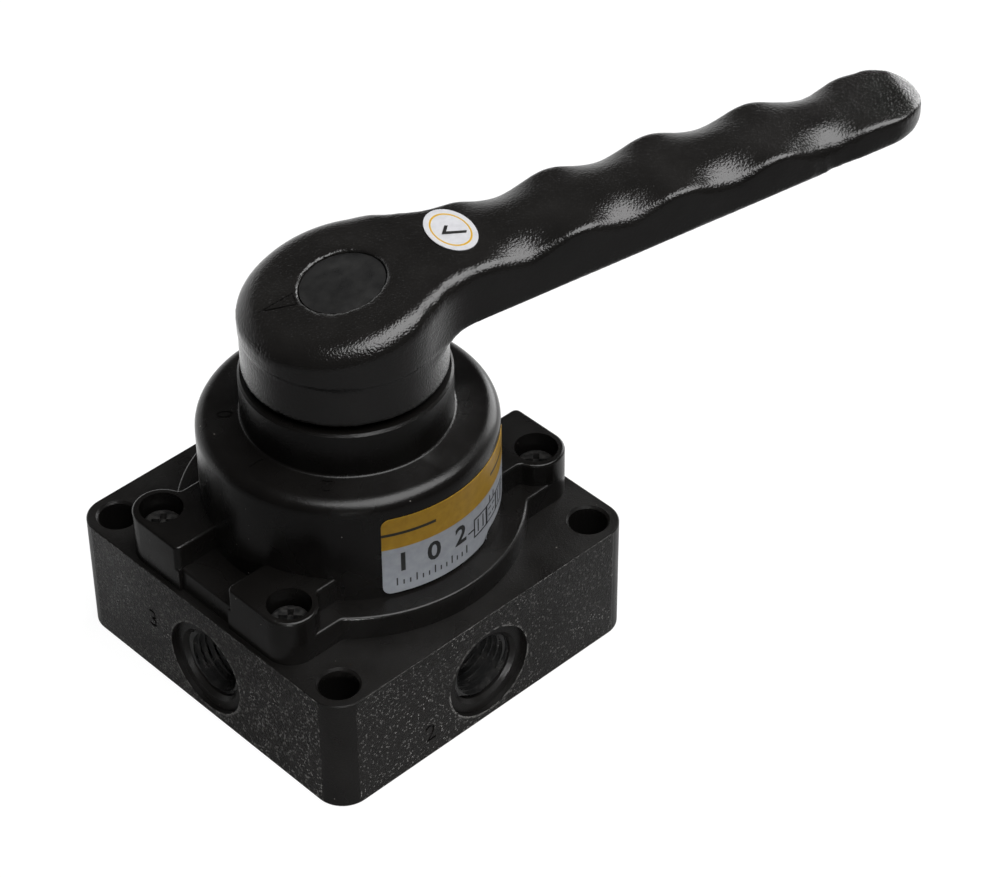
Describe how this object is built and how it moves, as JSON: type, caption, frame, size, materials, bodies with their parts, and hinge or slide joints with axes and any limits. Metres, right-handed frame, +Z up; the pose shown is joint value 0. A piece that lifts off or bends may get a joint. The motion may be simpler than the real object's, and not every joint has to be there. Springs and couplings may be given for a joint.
{
  "type": "hand lever air valve",
  "caption": "Square-bodied rotary air valve with a threaded port in each side, a round bolted-down cover and a cranked finger-grip lever that turns between detented positions.",
  "frame": {"origin": "centre of the flat mounting face under the body", "axes": "+Z up the stem axis, through the mounting holes; X along the two sides that the cover's ears reach, with the lever's middle position along +X"},
  "size_m": [0.1296, 0.0836, 0.0932],
  "materials": {
    "body_casting": "rough black powder coat over die-cast aluminium",
    "cover_casting": "satin black paint over die-cast aluminium",
    "lever_casting": "glossy black paint with fine orange peel",
    "cap_plastic": "satin black moulded plastic",
    "black_screw": "black zinc-plated steel",
    "bright_steel": "plain steel",
    "bronze": "sintered bronze",
    "disc_alloy": "lapped aluminium",
    "seal_rubber": "black nitrile",
    "white_polymer": "white PTFE",
    "label_film": "printed film, yellow band over pale grey",
    "sticker_film": "white film with a gold ring"
  },
  "bodies": {
    "valve": {"valve_body": "body_casting", "valve_cover": "cover_casting", "cover_screws": "black_screw", "cover_lock_washers": "black_screw", "cover_seal": "seal_rubber", "seat_seals": "seal_rubber", "stem_bush": "bronze", "dome_label": "label_film"},
    "rotor": {"lever": "lever_casting", "lever_cap": "cap_plastic", "lever_screw": "bright_steel", "spring_washer": "bright_steel", "flat_washer": "bright_steel", "stem": "bright_steel", "stem_seal": "seal_rubber", "thrust_washer": "white_polymer", "drive_pins": "bright_steel", "valve_disc": "disc_alloy", "disc_spring": "bright_steel", "detent_spring_front": "bright_steel", "detent_spring_rear": "bright_steel", "check_sticker": "sticker_film"},
    "detent_front": {"detent_ball_front": "bright_steel"},
    "detent_rear": {"detent_ball_rear": "bright_steel"}
  },
  "joints": [
    {"name": "lever_turn", "type": "hinge", "parent": "valve", "child": "rotor", "pos_m": [0, 0, 0.05], "axis": [0, 0, 1], "range_deg": [-20, 70]},
    {"name": "detent_front_slide", "type": "slide", "parent": "rotor", "child": "detent_front", "axis": [0, 0, 1], "range_m": [0, 0.0008], "stiffness_N_per_m": 600, "springref_m": -0.004, "deforming": ["detent_spring_front"]},
    {"name": "detent_rear_slide", "type": "slide", "parent": "rotor", "child": "detent_rear", "axis": [0, 0, 1], "range_m": [0, 0.0008], "stiffness_N_per_m": 600, "springref_m": -0.004, "deforming": ["detent_spring_rear"]}
  ]
}
